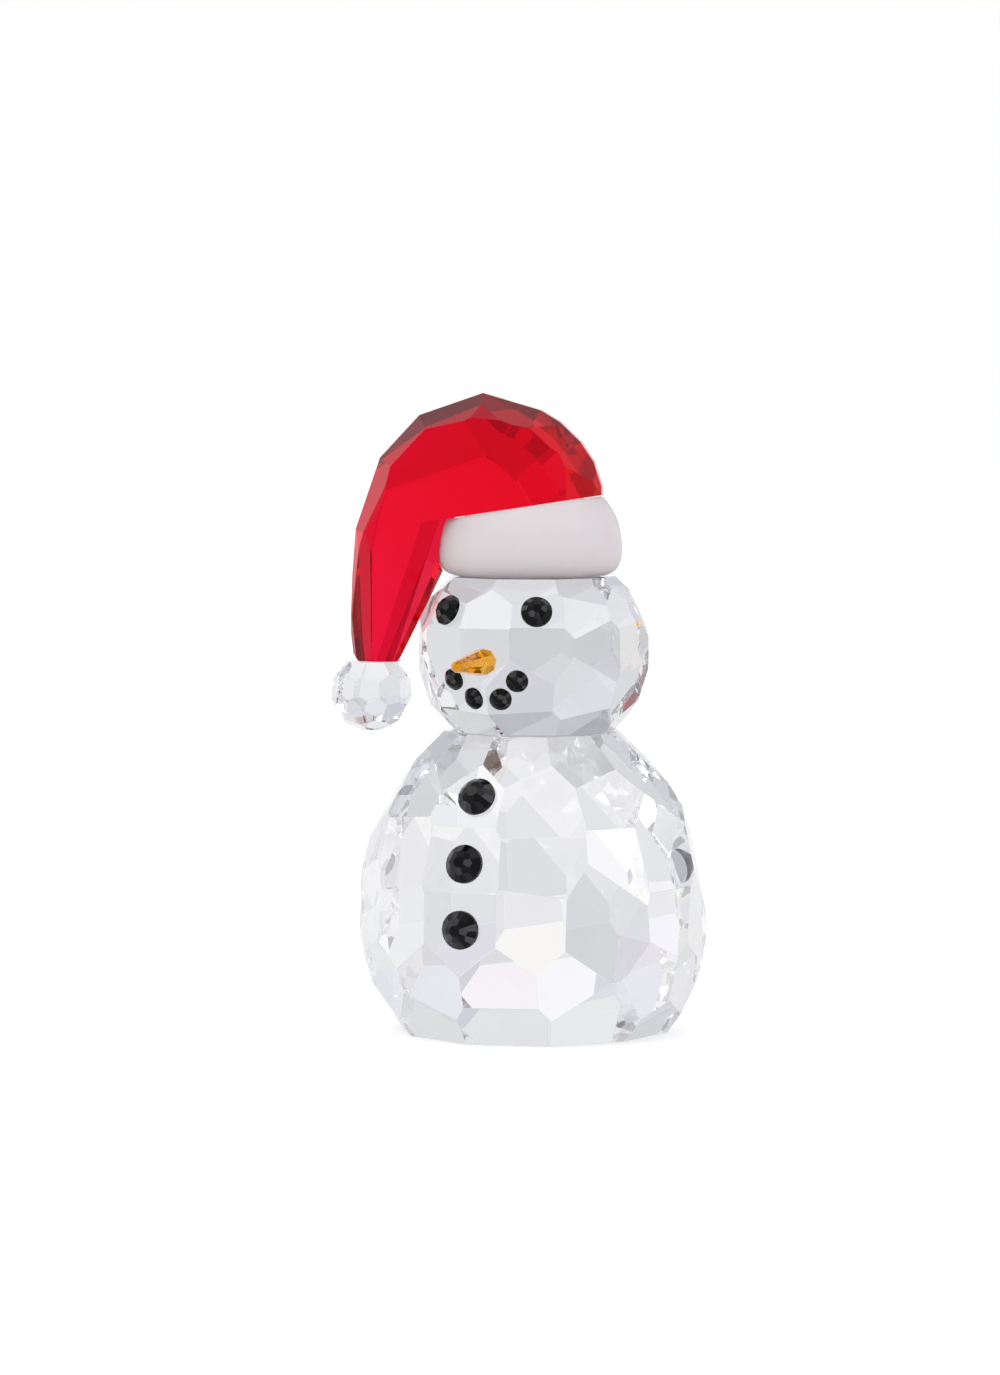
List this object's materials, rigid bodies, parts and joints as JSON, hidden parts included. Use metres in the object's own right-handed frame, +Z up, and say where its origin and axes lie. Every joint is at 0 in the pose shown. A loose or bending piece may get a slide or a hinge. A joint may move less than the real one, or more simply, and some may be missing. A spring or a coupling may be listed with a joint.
{
  "type": "crystal snowman figurine",
  "caption": "Faceted clear crystal snowman with a red crystal hat drooping to one side, frosted brim, bead pompom, amber nose and black stones.",
  "frame": {"origin": "centre of the flat resting face under the body, on the upright axis of body and head", "axes": "+Z up through body and head; the face, nose and buttons look along -Y; +X is the snowman's left"},
  "size_m": [0.0459, 0.0446, 0.0808],
  "materials": {
    "clear_crystal": "clear lead crystal, hand-cut flats polished bright",
    "frosted_glass": "white glass with an even acid-frosted surface",
    "red_crystal": "transparent red crystal, cut flats polished bright",
    "amber_crystal": "transparent amber crystal, cut flats polished bright",
    "black_crystal": "opaque jet-black crystal, cut flats polished bright",
    "clear_glue": "hair-thin clear cured adhesive"
  },
  "bodies": {
    "root": {"body": "clear_crystal", "head": "clear_crystal", "pompom": "clear_crystal", "brim": "frosted_glass", "hat": "red_crystal", "nose": "amber_crystal", "eyes": "black_crystal", "mouth": "black_crystal", "buttons": "black_crystal", "neck_bond": "clear_glue", "brim_bond": "clear_glue", "hat_bond": "clear_glue", "pompom_bond": "clear_glue", "nose_bond": "clear_glue", "eye_bonds": "clear_glue", "mouth_bonds": "clear_glue", "button_bonds": "clear_glue"}
  },
  "joints": []
}
